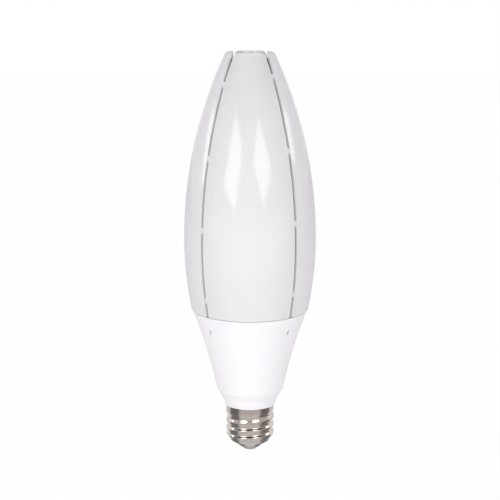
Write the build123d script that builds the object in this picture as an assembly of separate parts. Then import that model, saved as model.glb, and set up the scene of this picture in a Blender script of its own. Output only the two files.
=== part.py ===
from build123d import *
import os
from math import asin, cos, degrees, radians, sin, sqrt

# An LED lamp on a large screw cap. Four lobed diffuser covers stand round a finned metal column, on a
# carrier plate that snaps into a tapered housing. The housing holds the driver and plugs into the cap.
# Millimetres. The origin is at the middle of the contact's face, +Z runs up the lamp, and the front is -Y.

# Cap
CAP_RADIUS = 19.75
CAP_WALL = 0.5
CAP_TOP_Z = 39.0
CAP_STRAIGHT_Z = 15.0
CONE_TOP_RADIUS = 16.5
CONE_TOP_Z = 8.4
TIP_RADIUS = 4.6
SHELL_HOLE_RADIUS = 10.5
CONTACT_RADIUS = 8.0
CONTACT_RIM = 0.8
STEM_RADIUS = 3.0
STEM_TOP_Z = 10.0
INSULATOR_FLANGE_RADIUS = 13.5
INSULATOR_TOP_Z = 9.0
CAP_CLEARANCE = 0.1

# Housing: each height and radius is a step up or out from the one below it
COLLAR_STEP = 0.65
NECK_HEIGHT = 7.4
NECK_STEP = 2.8
SHOULDER_HEIGHT = 6.0
SHOULDER_STEP = 4.0
SHOULDER_ROUND = 3.5
FLARE_FOOT_HEIGHT = 3.6
FLARE_FOOT_STEP = 0.8
FLARE_HEIGHT = 63.2
FLARE_SAG = 1.35
HOUSING_WALL = 3.0
RIM_WALL = 2.2
RIM_STEP = 1.0
RIM_GAP = 0.2
PLUG_LENGTH = 4.4
PLUG_WALL = 3.0
PLUG_CLEARANCE = 0.1
WINDOW_ANGLE = 49.0
WINDOW_DROP = 12.8
WINDOW_WIDTH = 2.0
WINDOW_HEIGHT = 4.0

# Covers: two arcs over the height, vertical at the belly; each cover is turned about an axis of its own,
# which stands out from the lamp's axis by the lobe
COVER_FOOT_RADIUS = 47.9
BELLY_HEIGHT = 58.6
BELLY_RADIUS = 54.0
UPPER_HEIGHT = 152.0
TOP_RADIUS = 19.7
LOBE = 3.6
SEAM_GAP = 1.6
COVER_WALL = 2.2
FLANGE_DEPTH = 9.0
DISH_DEPTH = 3.4
TOP_ROUND = 3.2
FOOT_ROUND = 1.2

# Tongues of the front and rear covers, in rebates in the side covers' edges
TONGUE_RISE = 17.6
TONGUE_PITCH = 57.0
TONGUE_COUNT = 4
TONGUE_STAGGER = 3.0
TONGUE_HEIGHT = 5.0
TONGUE_THICKNESS = 2.0
TONGUE_DEPTH = 1.0
TONGUE_ENGAGEMENT = 1.4
TONGUE_CLEARANCE = 0.25

# Column, fins, boards and crown
COLUMN_WIDTH = 38.0
COLUMN_BORE = 26.0
FIN_THICKNESS = 3.0
FIN_FLANGE_WIDTH = 9.0
FIN_FLANGE_THICKNESS = 2.0
FIN_MIN_REACH = 1.0
FIN_CLEARANCE = 0.8
BOARD_WIDTH = 30.0
BOARD_THICKNESS = 1.6
BOARD_MARGIN = 4.0
LED_SIZE = 3.0
LED_HEIGHT = 0.8
LED_ROWS = 10
LED_SPREAD = 14.0
LED_MARGIN = 7.0
CROWN_WALL = 2.0
CROWN_SPIGOT_LENGTH = 6.0
CROWN_CLEARANCE = 0.1

# Carrier plate and its fixings
PLATE_THICKNESS = 3.2
PLATE_CLEARANCE = 0.15
SCREW_RADIUS = 2.0
SCREW_LENGTH = 16.0
SCREW_HEAD_WIDTH = 7.0
SCREW_HEAD_HEIGHT = 2.8
SCREW_CLEARANCE = 0.05
LEG_WIDTH = 5.0
LEG_THICKNESS = 2.0
LEG_CLEARANCE = 0.4
BARB_REACH = 1.4

# Driver board and the guides that hold it
DRIVER_THICKNESS = 1.6
DRIVER_SIDE_GAP = 3.0
DRIVER_HEADROOM = 4.2
GUIDE_OVERLAP = 1.5
GUIDE_WALL = 1.6
GUIDE_FLOOR = 2.0
GUIDE_CLEARANCE = 0.2

# Transformer: a ferrite core round a wound coil
CORE_WIDTH = 26.0
CORE_DEPTH = 16.0
CORE_HEIGHT = 24.0
CORE_LEG = 7.0
CORE_END = 4.0
CORE_RISE = 32.0
COIL_BUILD = 4.0
COIL_CLEARANCE = 0.2

# Other driver components: sizes, and where they stand on the board from its middle and its foot or top
CAPACITOR_RADIUS = 8.0
CAPACITOR_LENGTH = 26.0
CAPACITOR_GAP = 1.0
CAPACITOR_RISE = 22.0
CHOKE_RADIUS = 6.0
CHOKE_DEPTH = 9.0
CHOKE_SIDE = 9.0
CHOKE_RISE = 9.0
FILM_WIDTH = 13.0
FILM_DEPTH = 7.0
FILM_HEIGHT = 11.0
FILM_SIDE = 8.0
FILM_RISE = 11.0
VARISTOR_RADIUS = 4.5
VARISTOR_DEPTH = 4.0
FUSE_RADIUS = 2.4
FUSE_LENGTH = 9.0
INPUT_SIDE = 14.0
INPUT_DROP = 6.0
RECTIFIER_WIDTH = 9.0
RECTIFIER_DEPTH = 4.0
RECTIFIER_HEIGHT = 8.0
SWITCH_WIDTH = 10.0
SWITCH_DEPTH = 4.5
SWITCH_HEIGHT = 15.0
POWER_SIDE = 10.5
POWER_DROP = 9.5

# Wires
WIRE_RADIUS = 0.9
WIRE_HOLE_CLEARANCE = 0.4
WIRE_OFFSET = 6.0
WIRE_STUB = 1.0
WIRE_LAP = 8.0
WIRE_RISE = 12.0
WIRE_STEP = 6.0
NEUTRAL_RUN = 10.0

SIDES = ("front", "right", "rear", "left")
FRONT = -90
SEAM_COS = cos(radians(45))

NECK_TOP_Z = CAP_TOP_Z + NECK_HEIGHT
SHOULDER_Z = NECK_TOP_Z + SHOULDER_HEIGHT
FLARE_FOOT_Z = SHOULDER_Z + FLARE_FOOT_HEIGHT
RIM_Z = FLARE_FOOT_Z + FLARE_HEIGHT
WINDOW_Z = RIM_Z - WINDOW_DROP
COVER_FOOT_Z = RIM_Z + RIM_GAP
BELLY_Z = COVER_FOOT_Z + BELLY_HEIGHT
LAMP_LENGTH = BELLY_Z + UPPER_HEIGHT
DISH_Z = LAMP_LENGTH - DISH_DEPTH
PLATE_FOOT_Z = COVER_FOOT_Z - PLATE_THICKNESS
DRIVER_FOOT_Z = FLARE_FOOT_Z
DRIVER_TOP_Z = PLATE_FOOT_Z - DRIVER_HEADROOM
SUPPLY_Z = COVER_FOOT_Z + WIRE_RISE
RETURN_Z = SUPPLY_Z + WIRE_STEP
LINK_Z = RETURN_Z + WIRE_STEP

CAP_BORE = CAP_RADIUS - CAP_WALL
PLUG_RADIUS = CAP_BORE - PLUG_CLEARANCE
PLUG_FOOT_Z = CAP_TOP_Z - PLUG_LENGTH
COLLAR_RADIUS = CAP_RADIUS + COLLAR_STEP
NECK_TOP_RADIUS = COLLAR_RADIUS + NECK_STEP
SHOULDER_RADIUS = NECK_TOP_RADIUS + SHOULDER_STEP
FLARE_FOOT_RADIUS = SHOULDER_RADIUS + FLARE_FOOT_STEP
RIM_RADIUS = COVER_FOOT_RADIUS - RIM_STEP


def arc_radius(inset, height):
    """Radius of an arc that starts vertical and comes in by inset over a height."""
    return (inset**2 + height**2) / (2 * inset)


UPPER_ARC = arc_radius(BELLY_RADIUS - TOP_RADIUS, UPPER_HEIGHT)
LOWER_ARC = arc_radius(BELLY_RADIUS - COVER_FOOT_RADIUS, BELLY_HEIGHT)


def spindle_radius(z, depth=0.0):
    """Radius from the lamp's axis, mid-cover, of the surface that lies depth inside the covers' outside."""
    arc = UPPER_ARC if z > BELLY_Z else LOWER_ARC
    return BELLY_RADIUS - arc + sqrt((arc - depth) ** 2 - (z - BELLY_Z) ** 2)


def lobed(radius, lobe):
    """Radius at a seam of a lobed outline that reaches radius at the middle of each lobe."""
    return lobe * SEAM_COS + sqrt((radius - lobe) ** 2 - (lobe * SEAM_COS) ** 2)


def fin_reach(z):
    """How far out a fin or the crown may stand at a seam: just inside the tongues that bridge it."""
    return lobed(spindle_radius(z, TONGUE_DEPTH + TONGUE_THICKNESS), LOBE) - FIN_CLEARANCE


def mouth_reach(z):
    """How far out the crown may stand at a seam inside the covers' flanges."""
    return lobed(spindle_radius(z, FLANGE_DEPTH), LOBE) - FIN_CLEARANCE


def height_of_mouth(reach):
    """Height above the belly at which mouth_reach has come in to reach."""
    seam = reach + FIN_CLEARANCE - LOBE * SEAM_COS
    across = sqrt(seam**2 + (LOBE * SEAM_COS) ** 2) + LOBE
    return BELLY_Z + sqrt((UPPER_ARC - FLANGE_DEPTH) ** 2 - (across - BELLY_RADIUS + UPPER_ARC) ** 2)


COLUMN_TOP_Z = height_of_mouth(COLUMN_WIDTH * SEAM_COS + FIN_MIN_REACH)


def curve(radius_at, low, high):
    """Arc through three points of a radius that is a function of height."""
    points = [(radius_at(z), z) for z in (low, (low + high) / 2, high)]
    return ThreePointArc(*points)


def turned(*lines):
    """Solid turned about Z from lines of (radius, height) that close on themselves."""
    return revolve(Plane.XZ * make_face(Curve() + list(lines)), axis=Axis.Z)


def turned_points(*points):
    """Solid turned about Z from a straight-sided section."""
    return turned(Polyline(*points, close=True))


def at_side(shape, index):
    """A shape made at the front, moved round to one of the four sides."""
    return Rot(0, 0, 90 * index) * shape


def facing_out(angle):
    """Plane through the axis that faces out at an angle: x runs round the lamp and y runs up."""
    turn = radians(angle)
    return Plane((0, 0, 0), x_dir=(-sin(turn), cos(turn), 0), z_dir=(cos(turn), sin(turn), 0))


# Covers

# Half the turn of a cover about its own axis, which leaves the seam gap at the belly
SEAM_LEAN = (LOBE * SEAM_COS - SEAM_GAP / 2) / (BELLY_RADIUS - LOBE)
HALF_TURN = 45 + degrees(asin(SEAM_LEAN))


def seam_gap(z):
    """Gap between two covers at their outside, which is wider where they are narrower."""
    return 2 * (LOBE * SEAM_COS - (spindle_radius(z) - LOBE) * SEAM_LEAN)


def cover_arcs(depth, low, high):
    """Arcs at a depth inside the covers' outside, measured from a cover's own axis, parted at the belly."""

    def radius_at(z):
        return spindle_radius(z, depth) - LOBE

    levels = [low, BELLY_Z, high] if low < BELLY_Z else [low, high]
    return [curve(radius_at, *pair) for pair in zip(levels, levels[1:])]


def cover_block():
    """The front cover before it is hollowed: as deep as its flanges, with its top and foot edges rounded."""
    outside = cover_arcs(0, COVER_FOOT_Z, LAMP_LENGTH)
    inside = cover_arcs(FLANGE_DEPTH, COVER_FOOT_Z, LAMP_LENGTH)
    foot = Line(outside[0] @ 0, inside[0] @ 0)
    top = Line(outside[1] @ 1, inside[1] @ 1)
    section = make_face(Curve() + outside + inside + [foot, top])
    top_corner = section.vertices().group_by(Axis.Y)[-1].sort_by(Axis.X)[-1]
    section = fillet(top_corner, TOP_ROUND)
    foot_corner = section.vertices().group_by(Axis.Y)[0].sort_by(Axis.X)[-1]
    section = fillet(foot_corner, FOOT_ROUND)
    block = revolve(Plane.XZ * section, axis=Axis.Z, revolution_arc=2 * HALF_TURN)
    return Pos(0, -LOBE, 0) * Rot(0, 0, FRONT - HALF_TURN) * block


def cover_room(low, high):
    """The room inside the front cover's wall between two heights, turned right round to open at the seams."""
    wall = cover_arcs(COVER_WALL, low, high)
    back = Polyline(wall[-1] @ 1, (0, high), (0, low), wall[0] @ 0)
    return Pos(0, -LOBE, 0) * turned(*wall, back)


def tongues(seam, clearance):
    """The tongues across one of the four seams, or the rebates for them."""
    angle = FRONT + 45 + 90 * seam
    stagger = TONGUE_STAGGER if seam % 2 == 0 else -TONGUE_STAGGER
    row = []
    for station in range(TONGUE_COUNT):
        z = COVER_FOOT_Z + TONGUE_RISE + TONGUE_PITCH * station + stagger
        face = lobed(spindle_radius(z), LOBE) - TONGUE_DEPTH
        length = seam_gap(z) + 2 * (TONGUE_ENGAGEMENT + clearance)
        block = Box(length, TONGUE_HEIGHT + 2 * clearance, TONGUE_THICKNESS + 2 * clearance)
        row.append(facing_out(angle) * Pos(0, z, face - TONGUE_THICKNESS / 2) * block)
    return row


def covers():
    """The four covers, with flanges at foot and top: tongues on two of them, rebates in the other two."""
    inside = cover_room(COVER_FOOT_Z + COVER_WALL, DISH_Z - COVER_WALL)
    blank = cover_block() - inside - cover_room(DISH_Z, LAMP_LENGTH)
    made = []
    for index in range(4):
        cover = at_side(blank, index)
        for seam in (index, (index + 3) % 4):
            if index % 2 == 0:
                cover = cover + tongues(seam, 0)
            else:
                cover = cover - tongues(seam, TONGUE_CLEARANCE)
        made.append(cover)
    return made


# Wires

BOARD_FACE = COLUMN_WIDTH / 2 + BOARD_THICKNESS
DRIVER_FACE = DRIVER_THICKNESS / 2
WIRE_Y = -DRIVER_FACE - WIRE_RADIUS


def wire(points, radius=WIRE_RADIUS):
    """A round wire along straight runs."""
    path = Polyline(*points)
    start = Plane(origin=path @ 0, z_dir=path % 0)
    return sweep(start * Circle(radius), path=path, transition=Transition.RIGHT)


def supply_wire(radius=WIRE_RADIUS):
    """From the driver up the bore and out through the front board."""
    x = -WIRE_OFFSET
    out = -BOARD_FACE - WIRE_STUB
    low = DRIVER_TOP_Z - WIRE_LAP
    return wire([(x, WIRE_Y, low), (x, WIRE_Y, SUPPLY_Z), (x, out, SUPPLY_Z)], radius)


def return_wire(radius=WIRE_RADIUS):
    """From the driver up the bore and out through the left board."""
    x = WIRE_OFFSET
    out = -BOARD_FACE - WIRE_STUB
    low = DRIVER_TOP_Z - WIRE_LAP
    return wire([(x, WIRE_Y, low), (x, WIRE_Y, RETURN_Z), (out, WIRE_Y, RETURN_Z)], radius)


def link_wires(radius=WIRE_RADIUS):
    """Three links, each from one board through the bore to the next."""
    out = BOARD_FACE + WIRE_STUB
    corner = (WIRE_OFFSET, -WIRE_OFFSET, LINK_Z)
    link = wire([(WIRE_OFFSET, -out, LINK_Z), corner, (out, -WIRE_OFFSET, LINK_Z)], radius)
    return [at_side(link, index) for index in range(3)]


def wire_holes():
    """Room for the wires where they pass through the column and the boards."""
    radius = WIRE_RADIUS + WIRE_HOLE_CLEARANCE
    return [supply_wire(radius), return_wire(radius)] + link_wires(radius)


def live_wire():
    """From the contact's stem straight up to the driver board."""
    return wire([(0, WIRE_Y, STEM_TOP_Z), (0, WIRE_Y, DRIVER_FOOT_Z + BOARD_MARGIN)])


def neutral_wire():
    """From the driver board down the plug's bore and out under the plug to the shell."""
    low = PLUG_FOOT_Z - WIRE_RADIUS
    end = sqrt(CAP_BORE**2 - (WIRE_Y - WIRE_RADIUS) ** 2)
    x = end - NEUTRAL_RUN
    return wire([(x, WIRE_Y, DRIVER_FOOT_Z + BOARD_MARGIN), (x, WIRE_Y, low), (end, WIRE_Y, low)])


# Column and boards


def screw_places():
    """The four screws, at the corners of the column between its bore and its outside."""
    ring = (COLUMN_BORE / 2 + COLUMN_WIDTH * SEAM_COS) / 2
    return [Rot(0, 0, 45 + 90 * index) * Pos(ring, 0, COVER_FOOT_Z) for index in range(4)]


def heat_sink():
    """Square column with a bore, and a fin at each corner with a flange that closes the seam from behind."""
    fin_foot = COVER_FOOT_Z + COVER_WALL + FIN_CLEARANCE

    def flange_back(z):
        return fin_reach(z) - FIN_FLANGE_THICKNESS

    def rib(radius_at, width):
        """A plate through the axis whose edges follow radius_at on both sides."""
        edges = [curve(radius_at, fin_foot, BELLY_Z), curve(radius_at, BELLY_Z, COLUMN_TOP_Z)]
        back = Polyline(edges[0] @ 0, (0, fin_foot), (0, COLUMN_TOP_Z), edges[1] @ 1)
        half = extrude(Plane.XZ * make_face(Curve() + edges + [back]), width / 2, both=True)
        return half + Rot(0, 0, 180) * half

    flanges = rib(fin_reach, FIN_FLANGE_WIDTH) - rib(flange_back, FIN_FLANGE_WIDTH)
    blade = rib(fin_reach, FIN_THICKNESS) + flanges
    height = COLUMN_TOP_Z - COVER_FOOT_Z
    middle = Pos(0, 0, COVER_FOOT_Z + height / 2)
    column = middle * Box(COLUMN_WIDTH, COLUMN_WIDTH, height)
    sink = column + Rot(0, 0, 45) * blade + Rot(0, 0, 135) * blade
    sink = sink - middle * Cylinder(COLUMN_BORE / 2, height)
    depth = SCREW_LENGTH - PLATE_THICKNESS
    hole = Pos(0, 0, depth / 2) * Cylinder(SCREW_RADIUS + SCREW_CLEARANCE, depth)
    return sink - [place * hole for place in screw_places()] - wire_holes()


def led_boards():
    """A board on each face of the column, with holes where wires pass."""
    height = COLUMN_TOP_Z - COVER_FOOT_Z - 2 * BOARD_MARGIN
    place = Pos(0, -BOARD_FACE + BOARD_THICKNESS / 2, (COLUMN_TOP_Z + COVER_FOOT_Z) / 2)
    board = place * Box(BOARD_WIDTH, BOARD_THICKNESS, height)
    holes = wire_holes()
    return [at_side(board, index) - holes for index in range(4)]


def led_packages():
    """Two columns of LED packages on the front board, above the wire holes."""
    low = LINK_Z + LED_MARGIN
    high = COLUMN_TOP_Z - BOARD_MARGIN - LED_MARGIN
    pitch = (high - low) / (LED_ROWS - 1)
    package = Box(LED_SIZE, LED_HEIGHT, LED_SIZE)
    y = -BOARD_FACE - LED_HEIGHT / 2
    sides = (-LED_SPREAD / 2, LED_SPREAD / 2)
    return [Pos(x, y, low + pitch * row) * package for row in range(LED_ROWS) for x in sides]


def crown():
    """Tapered cap on the column that closes the seams from behind, with a boss in the mouth of the dish."""
    low = COLUMN_TOP_Z
    floor = low + CROWN_WALL
    shelf = DISH_Z - COVER_WALL - FIN_CLEARANCE
    mouth = mouth_reach(DISH_Z)
    spigot = COLUMN_BORE / 2 - CROWN_CLEARANCE
    bore = spigot - CROWN_WALL
    taper = (fin_reach(low) - fin_reach(shelf)) / (shelf - low)
    inside = fin_reach(shelf) - CROWN_WALL
    return turned_points(
        (fin_reach(low), low),
        (fin_reach(shelf), shelf),
        (mouth, shelf),
        (mouth, DISH_Z),
        (0, DISH_Z),
        (0, DISH_Z - CROWN_WALL),
        (mouth - CROWN_WALL, DISH_Z - CROWN_WALL),
        (mouth - CROWN_WALL, shelf - CROWN_WALL),
        (inside + taper * CROWN_WALL, shelf - CROWN_WALL),
        (inside + taper * (shelf - floor), floor),
        (bore, floor),
        (bore, low - CROWN_SPIGOT_LENGTH),
        (spigot, low - CROWN_SPIGOT_LENGTH),
        (spigot, low),
    )


# Housing and carrier plate


def flare_part(z):
    """How far up the flare a height is, from 0 at its foot to 1 at its rim."""
    return (z - FLARE_FOOT_Z) / FLARE_HEIGHT


def flare_radius(z):
    """Outside radius of the housing mid-lobe: a cone that sags inward by a parabola."""
    part = flare_part(z)
    straight = FLARE_FOOT_RADIUS + (RIM_RADIUS - FLARE_FOOT_RADIUS) * part
    return straight - 4 * FLARE_SAG * part * (1 - part)


def flare_seam_radius(z):
    """Outside radius of the housing under a seam, where the lobes meet: they grow with height squared."""
    return lobed(flare_radius(z), LOBE * flare_part(z) ** 2)


def flare_inside(z):
    """Inside radius of the housing's flare, which is round."""
    return flare_seam_radius(z) - HOUSING_WALL


SEAT_RADIUS = flare_seam_radius(RIM_Z) - RIM_WALL
DRIVER_WIDTH = 2 * (flare_inside(DRIVER_FOOT_Z) - DRIVER_SIDE_GAP)


def flare():
    """The housing's outside above the shoulder, from a circle to a four-lobed rim."""
    sections = []
    for z in (FLARE_FOOT_Z, (FLARE_FOOT_Z + RIM_Z) / 2, RIM_Z):
        seam = flare_seam_radius(z) * SEAM_COS
        lobe = ThreePointArc((seam, -seam), (flare_radius(z), 0), (seam, seam))
        sections.append(Pos(0, 0, z) * make_face(Curve() + [at_side(lobe, turn) for turn in range(4)]))
    return loft(sections)


def neck():
    """The plug inside the cap, the collar and the rounded shoulder, as a solid."""
    section = make_face(
        Polyline(
            (0, PLUG_FOOT_Z),
            (PLUG_RADIUS, PLUG_FOOT_Z),
            (PLUG_RADIUS, CAP_TOP_Z),
            (COLLAR_RADIUS, CAP_TOP_Z),
            (NECK_TOP_RADIUS, NECK_TOP_Z),
            (SHOULDER_RADIUS, SHOULDER_Z),
            (FLARE_FOOT_RADIUS, FLARE_FOOT_Z),
            (0, FLARE_FOOT_Z),
            close=True,
        )
    )
    shoulder = section.vertices().sort_by_distance((SHOULDER_RADIUS, SHOULDER_Z))[0]
    section = fillet(shoulder, SHOULDER_ROUND)
    throat = section.vertices().sort_by_distance((NECK_TOP_RADIUS, NECK_TOP_Z))[0]
    return revolve(Plane.XZ * fillet(throat, SHOULDER_ROUND), axis=Axis.Z)


def housing_hollow():
    """The room inside the housing, up to the seat for the carrier plate."""
    bore = PLUG_RADIUS - PLUG_WALL
    wall = curve(flare_inside, FLARE_FOOT_Z, PLATE_FOOT_Z)
    middle = [(0, PLATE_FOOT_Z), (0, PLUG_FOOT_Z)]
    throat = [(bore, PLUG_FOOT_Z), (bore, CAP_TOP_Z)]
    return turned(Polyline(wall @ 1, *middle, *throat, wall @ 0), wall)


def board_guides(room):
    """Ribs on both side walls that hold the driver board's edges, with a floor under them."""
    slot = DRIVER_THICKNESS / 2 + GUIDE_CLEARANCE
    start = DRIVER_WIDTH / 2 - GUIDE_OVERLAP
    reach = RIM_RADIUS - start
    foot = DRIVER_FOOT_Z - GUIDE_FLOOR
    height = DRIVER_TOP_Z - foot
    rib = Box(reach, 2 * (slot + GUIDE_WALL), height) - Pos(0, 0, GUIDE_FLOOR) * Box(reach, 2 * slot, height)
    rib = Pos(start + reach / 2, 0, foot + height / 2) * rib & room
    return rib + Rot(0, 0, 180) * rib


def window_places():
    """The four snap windows, beside the seams on the side covers' side, square to the housing's wall."""
    angles = [FRONT - WINDOW_ANGLE, FRONT + WINDOW_ANGLE, -FRONT - WINDOW_ANGLE, -FRONT + WINDOW_ANGLE]
    return [facing_out(angle) * Pos(0, WINDOW_Z, 0) for angle in angles]


def driver_housing():
    """The white moulding: lobed flare, shoulder, collar and plug, hollow, with a seat, guides and windows."""
    room = housing_hollow()
    seat = Pos(0, 0, RIM_Z) * Cylinder(SEAT_RADIUS, 2 * (RIM_Z - PLATE_FOOT_Z))
    shell = flare() + neck() - room - seat + board_guides(room)
    start = flare_inside(WINDOW_Z - WINDOW_HEIGHT) / 2
    reach = RIM_RADIUS - start
    opening = Pos(0, 0, start + reach / 2) * Box(WINDOW_WIDTH, WINDOW_HEIGHT, reach)
    return shell - [place * opening for place in window_places()]


def base_plate():
    """Carrier plate in the housing's seat: wire opening, screw holes and four snap legs with barbs."""
    middle = Pos(0, 0, COVER_FOOT_Z - PLATE_THICKNESS / 2)
    plate = middle * Cylinder(SEAT_RADIUS - PLATE_CLEARANCE, PLATE_THICKNESS)
    plate = plate - middle * Cylinder(COLUMN_BORE / 2, PLATE_THICKNESS)
    hole = Cylinder(SCREW_RADIUS + SCREW_CLEARANCE, 2 * PLATE_THICKNESS)
    plate = plate - [place * hole for place in screw_places()]
    face = flare_inside(WINDOW_Z - WINDOW_HEIGHT) - LEG_CLEARANCE
    height = PLATE_FOOT_Z - WINDOW_Z + WINDOW_HEIGHT
    leg = Pos(0, height / 2 - WINDOW_HEIGHT, face - LEG_THICKNESS / 2) * Box(LEG_WIDTH, height, LEG_THICKNESS)
    reach = flare_inside(WINDOW_Z) + BARB_REACH - face
    barb = Box(WINDOW_WIDTH - 2 * LEG_CLEARANCE, WINDOW_HEIGHT - 2 * LEG_CLEARANCE, reach)
    leg = leg + Pos(0, 0, face + reach / 2) * barb
    return plate + [place * leg for place in window_places()]


def heat_sink_screws():
    """Four hexagon-headed screws, up through the plate into the column."""
    shank = Pos(0, 0, SCREW_LENGTH / 2 - PLATE_THICKNESS) * Cylinder(SCREW_RADIUS, SCREW_LENGTH)
    head = extrude(RegularPolygon(SCREW_HEAD_WIDTH / 2, 6), SCREW_HEAD_HEIGHT)
    screw = shank + Pos(0, 0, -PLATE_THICKNESS - SCREW_HEAD_HEIGHT) * head
    return [place * screw for place in screw_places()]


# Cap

CONE_RISE = CONE_TOP_Z / (CONE_TOP_RADIUS - TIP_RADIUS)
CONE_WALL = CAP_WALL * sqrt(1 + CONE_RISE**2)


def cone_z(radius):
    """Height of the outside of the cap's lower cone at a radius."""
    return (radius - TIP_RADIUS) * CONE_RISE


CONTACT_TOP_Z = cone_z(CONTACT_RADIUS) + CONTACT_RIM


def screw_shell():
    """Thin shell at the thread's outside diameter, drawn in to a cone with a hole below."""
    return turned_points(
        (SHELL_HOLE_RADIUS, cone_z(SHELL_HOLE_RADIUS)),
        (CONE_TOP_RADIUS, CONE_TOP_Z),
        (CAP_RADIUS, CAP_STRAIGHT_Z),
        (CAP_RADIUS, CAP_TOP_Z),
        (CAP_BORE, CAP_TOP_Z),
        (CAP_BORE, CAP_STRAIGHT_Z),
        (CONE_TOP_RADIUS - CAP_WALL, cone_z(CONE_TOP_RADIUS - CAP_WALL) + CONE_WALL),
        (SHELL_HOLE_RADIUS, cone_z(SHELL_HOLE_RADIUS) + CONE_WALL),
    )


def centre_contact():
    """Contact with a flat tip and a cone, and a stem through the insulator for its wire."""
    return turned_points(
        (0, 0),
        (TIP_RADIUS, 0),
        (CONTACT_RADIUS, cone_z(CONTACT_RADIUS)),
        (CONTACT_RADIUS, CONTACT_TOP_Z),
        (STEM_RADIUS, CONTACT_TOP_Z),
        (STEM_RADIUS, STEM_TOP_Z),
        (0, STEM_TOP_Z),
    )


def cap_insulator():
    """Ring between contact and shell that fills the cone, with a flange that lies on the shell."""
    hole = STEM_RADIUS + CAP_CLEARANCE
    recess = CONTACT_RADIUS + CAP_CLEARANCE
    rim = SHELL_HOLE_RADIUS - CAP_CLEARANCE
    return turned_points(
        (hole, CONTACT_TOP_Z),
        (recess, CONTACT_TOP_Z),
        (recess, cone_z(recess)),
        (rim, cone_z(rim)),
        (rim, cone_z(rim) + CONE_WALL),
        (INSULATOR_FLANGE_RADIUS, cone_z(INSULATOR_FLANGE_RADIUS) + CONE_WALL),
        (INSULATOR_FLANGE_RADIUS, INSULATOR_TOP_Z),
        (hole, INSULATOR_TOP_Z),
    )


# Driver


def on_front(x, z, depth):
    """A place on the driver board's front face for a piece of the given depth."""
    return Pos(x, -DRIVER_FACE - depth / 2, z)


def on_rear(x, z, depth):
    """A place on the driver board's rear face for a piece of the given depth."""
    return Pos(x, DRIVER_FACE + depth / 2, z)


def driver_board():
    height = DRIVER_TOP_Z - DRIVER_FOOT_Z
    return Pos(0, 0, DRIVER_FOOT_Z + height / 2) * Box(DRIVER_WIDTH, DRIVER_THICKNESS, height)


TRANSFORMER_PLACE = on_front(0, DRIVER_FOOT_Z + CORE_RISE, CORE_DEPTH + 2 * COIL_BUILD)


def transformer_core():
    """Two legs and two ends round the leg that carries the coil."""
    window_width = (CORE_WIDTH - CORE_LEG) / 2 - CORE_END
    window = Box(window_width, CORE_DEPTH, CORE_HEIGHT - 2 * CORE_END)
    shift = (CORE_LEG + window_width) / 2
    core = Box(CORE_WIDTH, CORE_DEPTH, CORE_HEIGHT) - Pos(shift, 0, 0) * window - Pos(-shift, 0, 0) * window
    return TRANSFORMER_PLACE * core


def transformer_coil():
    """A square winding on the core's middle leg, which stands on the board."""
    height = CORE_HEIGHT - 2 * CORE_END - 2 * COIL_CLEARANCE
    outside = Box(CORE_LEG + 2 * COIL_BUILD, CORE_DEPTH + 2 * COIL_BUILD, height)
    inside = Box(CORE_LEG, CORE_DEPTH + 2 * COIL_CLEARANCE, height)
    return TRANSFORMER_PLACE * (outside - inside)


def bulk_capacitors():
    """Two cans side by side on the rear of the board."""
    z = DRIVER_FOOT_Z + CAPACITOR_RISE
    side = CAPACITOR_RADIUS + CAPACITOR_GAP / 2
    can = Cylinder(CAPACITOR_RADIUS, CAPACITOR_LENGTH)
    return [on_rear(x, z, 2 * CAPACITOR_RADIUS) * can for x in (-side, side)]


def input_choke():
    """A drum on the front of the board, by the cap's wires."""
    place = on_front(-CHOKE_SIDE, DRIVER_FOOT_Z + CHOKE_RISE, CHOKE_DEPTH)
    return place * Rot(90, 0, 0) * Cylinder(CHOKE_RADIUS, CHOKE_DEPTH)


def film_capacitor():
    place = on_front(FILM_SIDE, DRIVER_FOOT_Z + FILM_RISE, FILM_DEPTH)
    return place * Box(FILM_WIDTH, FILM_DEPTH, FILM_HEIGHT)


def varistor():
    place = on_front(-INPUT_SIDE, DRIVER_TOP_Z - INPUT_DROP, VARISTOR_DEPTH)
    return place * Rot(90, 0, 0) * Cylinder(VARISTOR_RADIUS, VARISTOR_DEPTH)


def fuse():
    place = on_front(INPUT_SIDE, DRIVER_TOP_Z - INPUT_DROP, 2 * FUSE_RADIUS)
    return place * Rot(0, 90, 0) * Cylinder(FUSE_RADIUS, FUSE_LENGTH)


def rectifier():
    place = on_rear(-POWER_SIDE, DRIVER_TOP_Z - POWER_DROP, RECTIFIER_DEPTH)
    return place * Box(RECTIFIER_WIDTH, RECTIFIER_DEPTH, RECTIFIER_HEIGHT)


def power_switch():
    place = on_rear(POWER_SIDE, DRIVER_TOP_Z - POWER_DROP, SWITCH_DEPTH)
    return place * Box(SWITCH_WIDTH, SWITCH_DEPTH, SWITCH_HEIGHT)


def nodes():
    """Every piece by its name; a list is a group of like pieces."""
    pieces = {
        "screw_shell": screw_shell(),
        "cap_insulator": cap_insulator(),
        "centre_contact": centre_contact(),
        "driver_housing": driver_housing(),
        "base_plate": base_plate(),
        "heat_sink": heat_sink(),
        "heat_sink_screws": heat_sink_screws(),
        "crown": crown(),
        "driver_board": driver_board(),
        "transformer_core": transformer_core(),
        "transformer_coil": transformer_coil(),
        "bulk_capacitors": bulk_capacitors(),
        "input_choke": input_choke(),
        "film_capacitor": film_capacitor(),
        "varistor": varistor(),
        "fuse": fuse(),
        "rectifier": rectifier(),
        "power_switch": power_switch(),
        "live_wire": live_wire(),
        "neutral_wire": neutral_wire(),
        "led_supply_wire": supply_wire(),
        "led_return_wire": return_wire(),
        "link_wires": link_wires(),
    }
    packages = led_packages()
    for index, (side, cover, board) in enumerate(zip(SIDES, covers(), led_boards())):
        pieces["diffuser_" + side] = cover
        pieces["led_board_" + side] = board
        pieces["leds_" + side] = [at_side(package, index) for package in packages]
    return pieces


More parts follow.
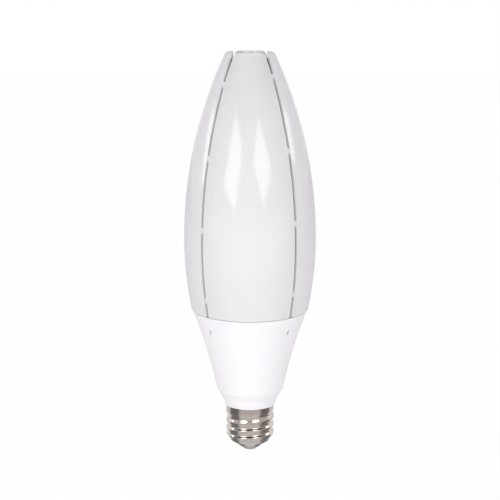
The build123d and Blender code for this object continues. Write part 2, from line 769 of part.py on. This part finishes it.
os.makedirs("parts", exist_ok=True)
for name, piece in nodes().items():
    shape = Compound(children=piece) if isinstance(piece, list) else piece
    export_step(shape, os.path.join("parts", name + ".step"))
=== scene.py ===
from math import asin, atan2, cos, hypot, pi, radians, sin, sqrt, tau

import bmesh
import bpy
from mathutils import Matrix, Vector


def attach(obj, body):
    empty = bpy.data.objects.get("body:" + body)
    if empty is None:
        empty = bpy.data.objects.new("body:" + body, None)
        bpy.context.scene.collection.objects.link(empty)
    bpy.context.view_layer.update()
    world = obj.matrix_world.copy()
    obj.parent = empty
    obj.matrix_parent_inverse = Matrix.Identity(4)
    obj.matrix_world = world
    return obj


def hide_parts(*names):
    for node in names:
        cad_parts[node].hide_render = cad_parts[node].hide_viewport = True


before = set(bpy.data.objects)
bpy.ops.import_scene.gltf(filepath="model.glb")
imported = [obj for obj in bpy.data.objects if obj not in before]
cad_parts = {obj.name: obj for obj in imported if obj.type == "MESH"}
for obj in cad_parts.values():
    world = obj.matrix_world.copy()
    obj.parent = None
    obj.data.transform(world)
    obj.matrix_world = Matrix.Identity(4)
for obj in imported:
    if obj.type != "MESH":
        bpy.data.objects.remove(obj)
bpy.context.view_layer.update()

scene = bpy.context.scene
scene.view_settings.view_transform = "Standard"


# Screw shell: a thin brass shell, drawn, rolled with a coarse right-hand thread and nickel plated.
# Its plain top band is crimped on the housing's plug, and its cone narrows to the insulator at the tip.

mm = 0.001
shell_radius = 19.75 * mm
shell_top = 39.0 * mm
shell_straight = 13.4 * mm
shell_wall = 0.5 * mm
shell_rows = 100
shell_columns = 128
cone_top = (16.5 * mm, 8.4 * mm)
cone_hole = 10.5 * mm
tip_radius = 4.6 * mm
cone_slope = cone_top[1] / (cone_top[0] - tip_radius)
shoulder_and_cone = [
    (19.2 * mm, 12.5 * mm),
    (18.2 * mm, 11.3 * mm),
    (17.2 * mm, 9.9 * mm),
    cone_top,
    (15.2 * mm, 7.45 * mm),
    (cone_hole, (cone_hole - tip_radius) * cone_slope),
]
thread_pitch = 6.35 * mm
thread_depth = 1.0 * mm
thread_flank = 0.2
thread_start = 2.3 * mm
thread_low = 12.6 * mm
thread_high = 34.6 * mm
thread_run_in = 1.5 * mm
thread_run_out = 3.0 * mm
last_crest = 26.2 * mm
last_pitch = 9.5 * mm


class Spread:
    """A value that varies over a surface: sums and products of it add Math nodes."""

    def __init__(self, tree, socket=None):
        self.tree = tree
        self.socket = socket

    def node(self, kind, settings=(), sockets=(), output=0):
        """Adds a node: its settings first, then the values or links of its sockets."""
        node = self.tree.nodes.new(kind)
        for name, value in dict(settings).items():
            setattr(node, name, value)
        for name, value in dict(sockets).items():
            if isinstance(value, Spread):
                self.tree.links.new(value.socket, node.inputs[name])
            else:
                node.inputs[name].default_value = value
        return Spread(self.tree, node.outputs[output] if node.outputs else None)

    def math(self, operation, first, second):
        """Adds a Math node."""
        return self.node("ShaderNodeMath", {"operation": operation}, {0: first, 1: second})

    def __add__(self, other):
        return self.math("ADD", self, other)

    def __sub__(self, other):
        return self.math("SUBTRACT", self, other)

    def __rsub__(self, other):
        return self.math("SUBTRACT", other, self)

    def __mul__(self, other):
        return self.math("MULTIPLY", self, other)

    __radd__ = __add__
    __rmul__ = __mul__

    def specks(self, scale, detail):
        """Noise from 0 to 1 over these coordinates, with scale in spots a metre."""
        return self.node("ShaderNodeTexNoise", {}, {"Vector": self, "Scale": scale, "Detail": detail})

    def blend(self, low, high):
        """A colour between two, by this value."""
        return self.node("ShaderNodeMix", {"data_type": "RGBA"}, {0: self, 6: (*low, 1), 7: (*high, 1)}, 2)

    def ramp(self, start, end, low, high):
        """Eases from low to high while this value goes from start to end."""
        return self.node(
            "ShaderNodeMapRange",
            {"interpolation_type": "SMOOTHSTEP"},
            {"Value": self, "From Min": start, "From Max": end, "To Min": low, "To Max": high},
        )

    def relief(self, height, strength=1.0):
        """Bumps as high as this value times a height in metres."""
        return self.node("ShaderNodeBump", {}, {"Height": self, "Distance": height, "Strength": strength})


def blank(owner):
    """Empties the nodes of a material or a world, and gives the start of new ones."""
    owner.use_nodes = True
    owner.node_tree.nodes.clear()
    return Spread(owner.node_tree)


def finish(name, look, **plain):
    """A material: plain sets the shader's own sockets, and look gives what varies over the surface."""
    material = bpy.data.materials.new(name)
    start = blank(material)
    place = start.node("ShaderNodeTexCoord", output="Object")
    shader = start.node("ShaderNodeBsdfPrincipled", {}, {**plain, **look(place)})
    start.node("ShaderNodeOutputMaterial", {}, {"Surface": shader})
    return material


def shown(name, bm, material):
    """Puts a finished mesh in the scene, as an object with one material."""
    mesh = bpy.data.meshes.new(name)
    bm.to_mesh(mesh)
    bm.free()
    mesh.materials.append(material)
    made = bpy.data.objects.new(name, mesh)
    scene.collection.objects.link(made)
    return made


def piece(name, bm, material):
    """A finished mesh as a smooth piece that rides on the lamp."""
    made = shown(name, bm, material)
    made.data.shade_smooth()
    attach(made, "root")
    return made


def walled(made, thickness):
    """Gives a sheet a wall, inwards from its outside."""
    wall = made.modifiers.new("wall", "SOLIDIFY")
    wall.thickness = thickness
    wall.offset = -1


def draw_on(bm, vert, points):
    """Draws edges on from a vertex through points, each a radius and a height."""
    for radius, height in points:
        vert = bmesh.ops.extrude_vert_indiv(bm, verts=[vert])["verts"][0]
        vert.co = (radius, 0, height)


def rolled_nickel(place):
    """Faint stains, and fine marks round the shell from the rolling."""
    round_the_shell = place.node("ShaderNodeMapping", {}, {"Vector": place, "Scale": (1, 1, 9)})
    marks = round_the_shell.specks(420, detail=4)
    stains = place.specks(160, detail=3)
    return {
        "Base Color": stains.blend((0.66, 0.59, 0.55), (0.75, 0.67, 0.63)),
        "Roughness": 0.07 + 0.06 * marks,
        "Normal": marks.relief(0.004 * mm, strength=0.4),
    }


bm = bmesh.new()
band_top = bm.verts.new((shell_radius, 0, shell_top))
draw_on(bm, band_top, [(shell_radius, shell_straight)])
bmesh.ops.subdivide_edges(bm, edges=bm.edges[:], cuts=shell_rows)
lowest = min(bm.verts, key=lambda vert: vert.co.z)
draw_on(bm, lowest, shoulder_and_cone)
section = bm.verts[:] + bm.edges[:]
bmesh.ops.spin(
    bm, geom=section, cent=(0, 0, 0), axis=(0, 0, 1), angle=tau, steps=shell_columns, use_merge=True
)

# The thread is a wave with flanks a little steeper than a sine's. It fades out at both ends, and its pitch
# grows above the last crest.
for vert in bm.verts:
    z = vert.co.z
    if thread_low < z < thread_high:
        turn = atan2(vert.co.y, vert.co.x) / tau
        fade = min(1, (z - thread_low) / thread_run_in, (thread_high - z) / thread_run_out)
        turns = (min(z, last_crest) - thread_start) / thread_pitch + max(0, z - last_crest) / last_pitch
        swing = cos(tau * (turns - turn))
        cut = 0.5 - 0.5 * swing * (1 + thread_flank * (1 - swing**2))
        vert.co.xy *= 1 - thread_depth * cut * fade / vert.co.xy.length
bmesh.ops.recalc_face_normals(bm, faces=bm.faces[:])

nickel = finish("nickel_plate", rolled_nickel, Metallic=1.0)
screw_shell = piece("screw_shell_threaded", bm, nickel)
walled(screw_shell, shell_wall)
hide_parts("screw_shell")


# Insulating ring and centre contact: a pressed ceramic ring in the mouth of the shell's cone,
# and a tinned brass button riveted through it, with a soft solder skin.


def coat(material, *nodes):
    """Gives CAD nodes a material."""
    for node in nodes:
        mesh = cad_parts[node].data
        mesh.materials.clear()
        mesh.materials.append(material)


def pressed_ceramic(place):
    grain = place.specks(900, detail=4)
    return {
        "Base Color": grain.blend((0.36, 0.34, 0.31), (0.46, 0.44, 0.40)),
        "Roughness": 0.5 + 0.2 * grain,
        "Normal": grain.relief(0.05 * mm, strength=0.5),
    }


def soft_solder(place):
    flow = place.specks(260, detail=3)
    return {
        "Base Color": flow.blend((0.42, 0.40, 0.38), (0.54, 0.52, 0.49)),
        "Roughness": 0.38 + 0.2 * flow,
        "Normal": flow.relief(0.12 * mm, strength=0.5),
    }


coat(finish("pressed_ceramic", pressed_ceramic), "cap_insulator")
coat(finish("soft_solder", soft_solder, Metallic=0.85), "centre_contact")


# Driver housing: one injection moulding in white heat-proof plastic, satin outside, with a lobed rim,
# four snap windows and a plug that is crimped in the shell. Its solid keeps its shape.


def moulded_white(place):
    skin = place.specks(1400, detail=3)
    flow = place.specks(22, detail=2)
    return {
        "Base Color": flow.blend((0.918, 0.896, 0.931), (0.938, 0.916, 0.951)),
        "Roughness": 0.42 + 0.1 * skin,
        "Normal": skin.relief(0.02 * mm, strength=0.25),
    }


coat(finish("white_housing_plastic", moulded_white), "driver_housing")


# Driver: a glass-fibre board on edge in the housing's guides, with its transformer, capacitors, choke,
# power switch, rectifier, fuse and varistor soldered to it. All of it is hidden in use.


def woven_board(place):
    threads = place.node(
        "ShaderNodeTexWave", {"bands_direction": "Z"}, {"Vector": place, "Scale": 260, "Distortion": 1.5}
    )
    return {
        "Base Color": threads.blend((0.02, 0.16, 0.07), (0.04, 0.25, 0.11)),
        "Roughness": 0.35 + 0.12 * threads,
        "Normal": threads.relief(0.02 * mm, strength=0.4),
    }


def wound_copper(place):
    turns = place.node("ShaderNodeTexWave", {"bands_direction": "Z"}, {"Vector": place, "Scale": 420})
    return {
        "Base Color": turns.blend((0.32, 0.10, 0.03), (0.66, 0.30, 0.12)),
        "Roughness": 0.25 + 0.2 * turns,
        "Normal": turns.relief(0.2 * mm),
    }


def coat_grained(name, low, high, *nodes, spots, rough, bumps, **plain):
    """Gives CAD nodes a finish of two tones in specks, so many spots a metre, with bumps to match."""

    def look(place):
        specks = place.specks(spots, detail=3)
        return {
            "Base Color": specks.blend(low, high),
            "Roughness": rough + 0.15 * specks,
            "Normal": specks.relief(bumps, strength=0.5),
        }

    coat(finish(name, look, **plain), *nodes)


coat(finish("glass_fibre_board", woven_board), "driver_board")
coat(finish("enamelled_winding", wound_copper, Metallic=0.6), "transformer_coil", "input_choke")
coat_grained(
    "pressed_ferrite", (0.03, 0.03, 0.035), (0.07, 0.07, 0.075), "transformer_core",
    spots=700, rough=0.6, bumps=0.05 * mm,
)
coat_grained(
    "shrink_sleeve", (0.012, 0.012, 0.014), (0.03, 0.03, 0.034), "bulk_capacitors",
    spots=300, rough=0.22, bumps=0.02 * mm,
)
coat_grained(
    "film_case", (0.42, 0.06, 0.02), (0.55, 0.10, 0.04), "film_capacitor",
    spots=400, rough=0.3, bumps=0.03 * mm,
)
coat_grained(
    "varistor_coat", (0.02, 0.09, 0.30), (0.04, 0.15, 0.42), "varistor",
    spots=600, rough=0.4, bumps=0.06 * mm,
)
coat_grained(
    "fuse_body", (0.16, 0.17, 0.13), (0.30, 0.30, 0.22), "fuse",
    spots=500, rough=0.4, bumps=0.04 * mm,
)
coat_grained(
    "moulded_epoxy", (0.015, 0.015, 0.016), (0.035, 0.035, 0.037), "rectifier", "power_switch",
    spots=1200, rough=0.5, bumps=0.03 * mm,
)


# Wires: tinned copper strands in extruded silicone sleeves, soldered at both ends. Red ones bring current
# to the driver and to the first LED board, black ones take it back, and white ones link the boards.

for colour, low, high, nodes in (
    ("red", (0.40, 0.01, 0.01), (0.55, 0.03, 0.02), ("live_wire", "led_supply_wire")),
    ("black", (0.012, 0.012, 0.012), (0.03, 0.03, 0.03), ("neutral_wire", "led_return_wire")),
    ("white", (0.62, 0.62, 0.60), (0.74, 0.74, 0.72), ("link_wires",)),
):
    coat_grained(colour + "_sleeve", low, high, *nodes, spots=500, rough=0.4, bumps=0.02 * mm)


# Carrier plate and its screws: a plate of glass-filled plastic, snapped in the housing by four barbed legs.
# Its grey is painted shade, darker than the plastic's own white, so that the barbs in the housing's snap
# windows look shadowed. Zinc-plated hexagon screws pass up through it into the column.

coat_grained(
    "glass_filled_plastic_painted_shade", (0.30, 0.298, 0.30), (0.36, 0.357, 0.36), "base_plate",
    spots=900, rough=0.45, bumps=0.06 * mm,
)
coat_grained(
    "zinc_plate", (0.55, 0.56, 0.58), (0.72, 0.73, 0.75), "heat_sink_screws",
    spots=600, rough=0.25, bumps=0.03 * mm, Metallic=1.0,
)


# Column: die-cast aluminium, left as cast, with a fin to each corner, whose flange closes the gap between
# two covers from inside. Its grey is kept darker than bare aluminium, as painted shade, so that the gaps
# between the covers look dark. It stands on the carrier plate, held by the screws, and takes the LEDs' heat.

coat_grained(
    "cast_aluminium_painted_shade", (0.36, 0.365, 0.37), (0.46, 0.465, 0.47), "heat_sink",
    spots=1100, rough=0.5, bumps=0.08 * mm, Metallic=0.6,
)


# LED boards and packages: white-masked aluminium boards on the column's faces, and small moulded packages
# soldered to them, whose phosphor looks yellow when they are off.

sides = ("front", "right", "rear", "left")
coat_grained(
    "white_solder_mask", (0.72, 0.73, 0.72), (0.82, 0.83, 0.82), *("led_board_" + side for side in sides),
    spots=800, rough=0.3, bumps=0.02 * mm,
)
coat_grained(
    "phosphor", (0.72, 0.55, 0.10), (0.85, 0.72, 0.24), *("leds_" + side for side in sides),
    spots=1500, rough=0.45, bumps=0.03 * mm,
)


# Crown: a tapered cap, moulded in plastic and plugged into the column's head. It closes the gaps at the
# covers' tops from behind, and its near-black is painted shade, so that those gaps look dark.

coat_grained(
    "crown_painted_shade", (0.025, 0.025, 0.026), (0.05, 0.05, 0.052), "crown",
    spots=1000, rough=0.4, bumps=0.03 * mm,
)


# Covers: four shells in milky polycarbonate, moulded with a gloss skin. Each bows out in its own lobe.
# It has a flange turned in at its foot, which stands on the carrier plate, and one below its top, round
# a shallow dish.

foot_height = 119.4 * mm
belly_height = 178.0 * mm
dish_height = 326.6 * mm
top_height = 330.0 * mm
belly_radius = 53.99 * mm
foot_radius = 47.9 * mm
top_radius = 19.7 * mm
lobe = 3.6 * mm
seam_gap = 2.5 * mm
seam_angle = radians(45)
flange_depth = 9.0 * mm
cover_wall = 2.2 * mm
cover_columns = 12
top_round = 3.2 * mm
foot_round = 1.7 * mm
foot_corner = 3.0 * mm
notch_width = 5.6 * mm
notch_depth = 6.0 * mm
edge_round = 0.5 * mm
flange_round = 0.4 * mm
sharp_angle = radians(50)


def bow(inset, height):
    """Radius of an arc that starts upright and comes in by inset over a height."""
    return (inset**2 + height**2) / (2 * inset)


upper_bow = bow(belly_radius - top_radius, top_height - belly_height)
lower_bow = bow(belly_radius - foot_radius, belly_height - foot_height)
seam_offset = lobe * cos(seam_angle)
half_turn = seam_angle + asin((seam_offset - seam_gap / 2) / (belly_radius - lobe))


def cover_radius(height, depth=0.0):
    """Radius from the lamp's axis, mid-cover, of what lies depth inside the covers' outside."""
    arc = upper_bow if height > belly_height else lower_bow
    return belly_radius - arc + sqrt((arc - depth) ** 2 - (height - belly_height) ** 2)


def milky_gloss(place):
    cloud = place.specks(18, detail=2)
    skin = place.specks(240, detail=2)
    return {
        "Base Color": cloud.blend((0.78, 0.76, 0.788), (0.804, 0.784, 0.812)),
        "Roughness": 0.07 + 0.05 * cloud,
        "Normal": skin.relief(0.004 * mm, strength=0.3),
    }


def swept(bm, vert, centre, angle, steps):
    """Sweeps a vertex up an arc about a centre in the XZ plane, and gives the arc's last vertex."""
    turned = bmesh.ops.spin(
        bm, geom=[vert], cent=(centre[0], 0, centre[1]), axis=(0, -1, 0), angle=angle, steps=steps
    )
    return next(item for item in turned["geom_last"] if isinstance(item, bmesh.types.BMVert))


def turned_cover(bm):
    """Turns a section in the XZ plane through the front cover's width, and moves it to the cover's axis."""
    section = bm.verts[:] + bm.edges[:] + bm.faces[:]
    start = Matrix.Rotation(-pi / 2 - half_turn, 4, "Z")
    bmesh.ops.rotate(bm, verts=bm.verts[:], cent=(0, 0, 0), matrix=start)
    bmesh.ops.spin(
        bm, geom=section, cent=(0, 0, 0), axis=(0, 0, 1), angle=2 * half_turn, steps=cover_columns
    )
    bmesh.ops.translate(bm, verts=bm.verts[:], vec=(0, -lobe, 0))


def to_side(bm, index):
    """Moves what was made at the front round to one of the four sides."""
    turn = Matrix.Rotation(index * pi / 2, 4, "Z")
    bmesh.ops.rotate(bm, verts=bm.verts[:], cent=(0, 0, 0), matrix=turn)


def cover_skin():
    """The front cover's outside as an open sheet: even gaps, flared at the top, and rounded foot corners."""
    bm = bmesh.new()
    belly = bm.verts.new((belly_radius - lobe, 0, belly_height))
    below = (belly_radius - lobe - lower_bow, belly_height)
    above = (belly_radius - lobe - upper_bow, belly_height)

    foot_drop = belly_height - foot_height - foot_round
    foot_reach = sqrt((lower_bow - foot_round) ** 2 - foot_drop**2)
    foot_turn = atan2(foot_drop, foot_reach)
    foot_centre = (below[0] + foot_reach, belly_height - foot_drop)
    corner_turn = foot_corner / lower_bow
    corner_top = swept(bm, belly, below, corner_turn - foot_turn, steps=5)
    ankle = swept(bm, corner_top, below, -corner_turn, steps=3)
    swept(bm, ankle, foot_centre, foot_turn - pi / 2, steps=4)

    top_rise = top_height - top_round - belly_height
    top_reach = sqrt((upper_bow - top_round) ** 2 - top_rise**2)
    top_turn = atan2(top_rise, top_reach)
    top_centre = (above[0] + top_reach, belly_height + top_rise)
    shoulder = swept(bm, belly, above, top_turn, steps=12)
    swept(bm, shoulder, top_centre, pi / 2 - top_turn, steps=4)

    turned_cover(bm)
    for vert in bm.verts:
        reach = hypot(vert.co.x, vert.co.y + lobe)
        flare = max(0, 1 - (top_height - vert.co.z) / notch_depth)
        dip = min(1, max(0, 1 - (vert.co.z - foot_height) / foot_corner))
        gap = seam_gap + (notch_width - seam_gap) * flare**2 + foot_corner * (1 - sqrt(1 - dip**2))
        wide = seam_angle + asin((seam_offset - gap / 2) / reach)
        turn = atan2(vert.co.x, -vert.co.y - lobe) * wide / half_turn
        vert.co.xy = (reach * sin(turn), -lobe - reach * cos(turn))
    bmesh.ops.recalc_face_normals(bm, faces=bm.faces[:])
    return bm


def cover_flange(low, high, buried):
    """A flat flange of the front cover between two heights, which starts buried in the cover's wall."""
    bm = bmesh.new()
    corners = [
        (cover_radius(low, flange_depth), low),
        (cover_radius(low, buried), low),
        (cover_radius(high, buried), high),
        (cover_radius(high, flange_depth), high),
    ]
    bm.faces.new([bm.verts.new((radius - lobe, 0, height)) for radius, height in corners])
    turned_cover(bm)
    bmesh.ops.holes_fill(bm, edges=[edge for edge in bm.edges if edge.is_boundary])
    bmesh.ops.recalc_face_normals(bm, faces=bm.faces[:])
    return bm


def edged(made, width):
    """Rounds a piece's sharp edges and smooths it."""
    edges = made.modifiers.new("edges", "BEVEL")
    edges.width = width
    edges.segments = 2
    edges.limit_method = "ANGLE"
    edges.angle_limit = sharp_angle
    smooth = made.modifiers.new("smooth", "SUBSURF")
    smooth.levels = 2
    smooth.render_levels = 2


milky = finish("milky_cover_plastic", milky_gloss, IOR=1.58)
for index, side in enumerate(sides):
    bm = cover_skin()
    to_side(bm, index)
    cover = piece("milky_cover_" + side, bm, milky)
    walled(cover, cover_wall)
    edged(cover, edge_round)
    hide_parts("diffuser_" + side)

for name, low, high, buried in (
    ("foot", foot_height, foot_height + cover_wall, foot_round),
    ("dish", dish_height - cover_wall, dish_height, cover_wall - edge_round / 2),
):
    for index, side in enumerate(sides):
        bm = cover_flange(low, high, buried)
        to_side(bm, index)
        flange = piece("cover_%s_flange_%s" % (name, side), bm, milky)
        edged(flange, flange_round)


# Tongues: flat bars moulded on the edges of the front and rear covers, which bridge the gaps into rebates
# in the side covers. They stand a little higher in the seams at front right and rear left.

tongue_first = foot_height + 17.6 * mm
tongue_rows = 4
tongue_pitch = 57.0 * mm
tongue_stagger = 3.0 * mm
tongue_height = 5.0 * mm
tongue_thickness = 2.0 * mm
tongue_depth = 1.0 * mm
tongue_engagement = 1.4 * mm
tongue_length = seam_gap + 2 * tongue_engagement
tongue_round = 0.4 * mm

bm = bmesh.new()
for seam in range(len(sides)):
    lift = tongue_stagger if seam % 2 == 0 else -tongue_stagger
    to_seam = Matrix.Rotation(radians(-45 + 90 * seam), 4, "Z")
    for row in range(tongue_rows):
        height = tongue_first + tongue_pitch * row + lift
        reach = cover_radius(height) - lobe
        out = seam_offset + sqrt(reach**2 - seam_offset**2) - tongue_depth - tongue_thickness / 2
        bar = bmesh.ops.create_cube(bm, size=1.0)["verts"]
        bmesh.ops.scale(bm, verts=bar, vec=(tongue_thickness, tongue_length, tongue_height))
        bmesh.ops.translate(bm, verts=bar, vec=(out, 0, height))
        bmesh.ops.rotate(bm, verts=bar, cent=(0, 0, 0), matrix=to_seam)
bmesh.ops.bevel(
    bm,
    geom=bm.edges[:],
    affect="EDGES",
    offset=tongue_round,
    segments=2,
    profile=0.5,
    material=-1,
    clamp_overlap=True,
)
piece("cover_tongues", bm, milky)


# Floor: a wide sheet of white paper that the lamp stands on, almost evenly white to the camera, with a faint
# shadow. Gloss mirrors it brighter close by, far in front and behind, and darker at the lamp's two sides.

floor_reach = 4.0
floor_drop = 0.1 * mm
paper_grey = 0.92
paper_glow = 0.985

# A tone changes between the two values of its pair: metres from the lamp's axis, or radians from the front
# for side_from and side_to.
middle = (-0.03, 0.03)
front_tone = 0.57
rear_tone = 0.72
far_in_front = (-0.6, -0.2)
far_tone = 0.5
close_by = (0.07, 0.13)
close_tone = 0.1
side_from = (0.66, 1.06)
side_to = (1.72, 1.86)
side_reach = (0.25, 0.4)
side_shade = 0.68


def rays(start, *kinds):
    """1 for rays of these kinds, 0 for others."""
    return sum(start.node("ShaderNodeLightPath", output="Is %s Ray" % kind) for kind in kinds)


paper = bpy.data.materials.new("white_paper")
start = blank(paper)
place = start.node("ShaderNodeTexCoord", output="Object")
aside = start.node("ShaderNodeSeparateXYZ", {}, {0: place}, "X")
beyond = start.node("ShaderNodeSeparateXYZ", {}, {0: place}, "Y")
away = start.node("ShaderNodeVectorMath", {"operation": "LENGTH"}, {0: place}, "Value")
bearing = start.math("ABSOLUTE", start.math("ARCTAN2", aside, -1 * beyond), 0)
at_sides = bearing.ramp(*side_from, 0, 1) * bearing.ramp(*side_to, 1, 0) * away.ramp(*side_reach, 1, 0)
mirrored = beyond.ramp(*middle, front_tone, rear_tone)
mirrored = mirrored + beyond.ramp(*far_in_front, far_tone, 0) + away.ramp(*close_by, close_tone, 0)
mirrored = mirrored * (1 - side_shade * at_sides)
seen = rays(start, "Camera", "Transmission")
shiny = rays(start, "Glossy")
dull = start.node("ShaderNodeBsdfDiffuse", {}, {"Color": (paper_grey, paper_grey, paper_grey, 1)})
white = start.node("ShaderNodeEmission", {}, {"Strength": 1.0})
mirror = start.node("ShaderNodeEmission", {}, {"Color": mirrored})
lit = start.node("ShaderNodeMixShader", {}, {0: paper_glow * seen, 1: dull, 2: white})
lit = start.node("ShaderNodeMixShader", {}, {0: shiny, 1: lit, 2: mirror})
start.node("ShaderNodeOutputMaterial", {}, {"Surface": lit})

bm = bmesh.new()
bmesh.ops.create_grid(bm, x_segments=1, y_segments=1, size=floor_reach)
bmesh.ops.translate(bm, verts=bm.verts[:], vec=(0, 0, -floor_drop))
floor = shown("floor", bm, paper)


# Backdrop and room: a white sheet behind the lamp, so that the camera sees white all round it. Gloss mirrors
# the room in front too, grey up to the top of its walls and dark above, with one soft light overhead.
# A tone changes between the two values of its pair: how far a heading of length 1 goes up, or back.

wall_top = (0.36, 0.5)
wall_tone = 0.55
ceiling_tone = 0.08
overhead_edge = (0.74, 0.86)
overhead_tone = 2.8
backdrop_edge = (0, 0.25)
backdrop_rise = (0, 0.5)
backdrop_gain = 1.8
room_tone = 0.67
room_fall = 0.52

world = bpy.data.worlds.new("white_backdrop")
start = blank(world)
heading = start.node("ShaderNodeTexCoord", output="Generated")
behind = start.node("ShaderNodeSeparateXYZ", {}, {0: heading}, "Y")
above = start.node("ShaderNodeSeparateXYZ", {}, {0: heading}, "Z")
front = above.ramp(*wall_top, wall_tone, ceiling_tone)
overhead = above.ramp(*overhead_edge, 0, overhead_tone)
mirrored = front + overhead + (1 - front) * behind.ramp(*backdrop_edge, 0, 1)
seen = rays(start, "Camera", "Transmission")
shiny = rays(start, "Glossy")
room = (room_tone - room_fall * above) * behind.ramp(*backdrop_rise, 1, backdrop_gain)
strength = seen + shiny * mirrored + (1 - seen - shiny) * room
surround = start.node("ShaderNodeBackground", {}, {"Color": (1, 1, 1, 1), "Strength": strength})
start.node("ShaderNodeOutputWorld", {}, {"Surface": surround})
scene.world = world


# Soft boxes: glowing sheets of cloth on stands, two square ones tilted beside the camera and a narrow strip
# at each side. A wide fill in front lights the lamp and isn't mirrored. The camera sees none of them.

camera_bearing = 1.3
covers_middle = Vector((0, -0.045, 0.245))
box_distance = 1.7
box_glow = 3.2
strip_glow = 3.6
fill_glow = 5.2


def soft_box(name, bearing, rise, glow, corners, mirrored=True):
    """A glowing sheet at a bearing right of the camera and a rise above the covers' middle, with its corners
    given across and up from there as shares of its distance."""
    turn, lift = radians(camera_bearing + bearing), radians(rise)
    toward = Vector((sin(turn) * cos(lift), -cos(turn) * cos(lift), sin(lift)))
    across = Vector((cos(turn), sin(turn), 0))
    up = toward.cross(across)
    bm = bmesh.new()
    for x, y in corners:
        bm.verts.new(covers_middle + box_distance * (toward + x * across + y * up))
    bm.faces.new(bm.verts[:])
    cloth = bpy.data.materials.new(name)
    start = blank(cloth)
    light = start.node("ShaderNodeEmission", {}, {"Strength": glow})
    start.node("ShaderNodeOutputMaterial", {}, {"Surface": light})
    box = shown(name, bm, cloth)
    box.visible_camera = False
    box.visible_shadow = False
    box.visible_glossy = mirrored


soft_box(
    "left_box", bearing=-34.7, rise=13.2, glow=box_glow,
    corners=[(-0.10, 0.27), (0.315, 0.11), (0.12, -0.25), (-0.335, -0.13)],
)
soft_box(
    "right_box", bearing=25.7, rise=14.2, glow=box_glow,
    corners=[(-0.04, 0.25), (0.365, -0.04), (0.0, -0.235), (-0.33, 0.03)],
)
soft_box(
    "left_strip", bearing=-99.1, rise=9.2, glow=strip_glow,
    corners=[(-0.16, 0.15), (0.05, 0.14), (0.13, -0.14), (0.0, -0.14)],
)
soft_box(
    "right_strip", bearing=94.3, rise=13.2, glow=strip_glow,
    corners=[(0.0, 0.15), (0.15, 0.05), (0.05, -0.13), (-0.16, -0.05)],
)
soft_box(
    "front_fill", bearing=-3, rise=5, glow=fill_glow, mirrored=False,
    corners=[(-0.4, 0.12), (0.4, 0.12), (0.4, -0.12), (-0.4, -0.12)],
)


# Light panel: a flat panel let into the floor, under the lamp and in front of it, which shines up at the
# lamp's underside. Neither the camera nor gloss sees it.

panel_width = 1.0
panel_depth = 1.2
panel_place = (0, -0.25, -0.05 * mm)
panel_glow = 0.22

light = bpy.data.lights.new("light_panel", "AREA")
light.shape = "RECTANGLE"
light.size = panel_width
light.size_y = panel_depth
light.energy = panel_glow * pi * panel_width * panel_depth
light_panel = bpy.data.objects.new("light_panel", light)
light_panel.matrix_world = Matrix.Translation(panel_place) @ Matrix.Rotation(pi, 4, "X")
light_panel.visible_camera = False
light_panel.visible_glossy = False
scene.collection.objects.link(light_panel)


# Camera: a long lens on a stand in front of the lamp and a little to the right, higher than the lamp's top
# and tilted down to its middle.

camera_away = 1.2044
camera_height = 0.4030
camera_tilt = 11
camera_turn = radians(camera_bearing)

camera_data = bpy.data.cameras.new("camera")
camera_data.sensor_width = 36.0
camera_data.lens = 108.0
camera_data.clip_end = 20.0
camera = bpy.data.objects.new("camera", camera_data)
camera.location = (camera_away * sin(camera_turn), -camera_away * cos(camera_turn), camera_height)
camera.rotation_euler = (radians(90 - camera_tilt), 0, camera_turn)
scene.collection.objects.link(camera)
scene.camera = camera
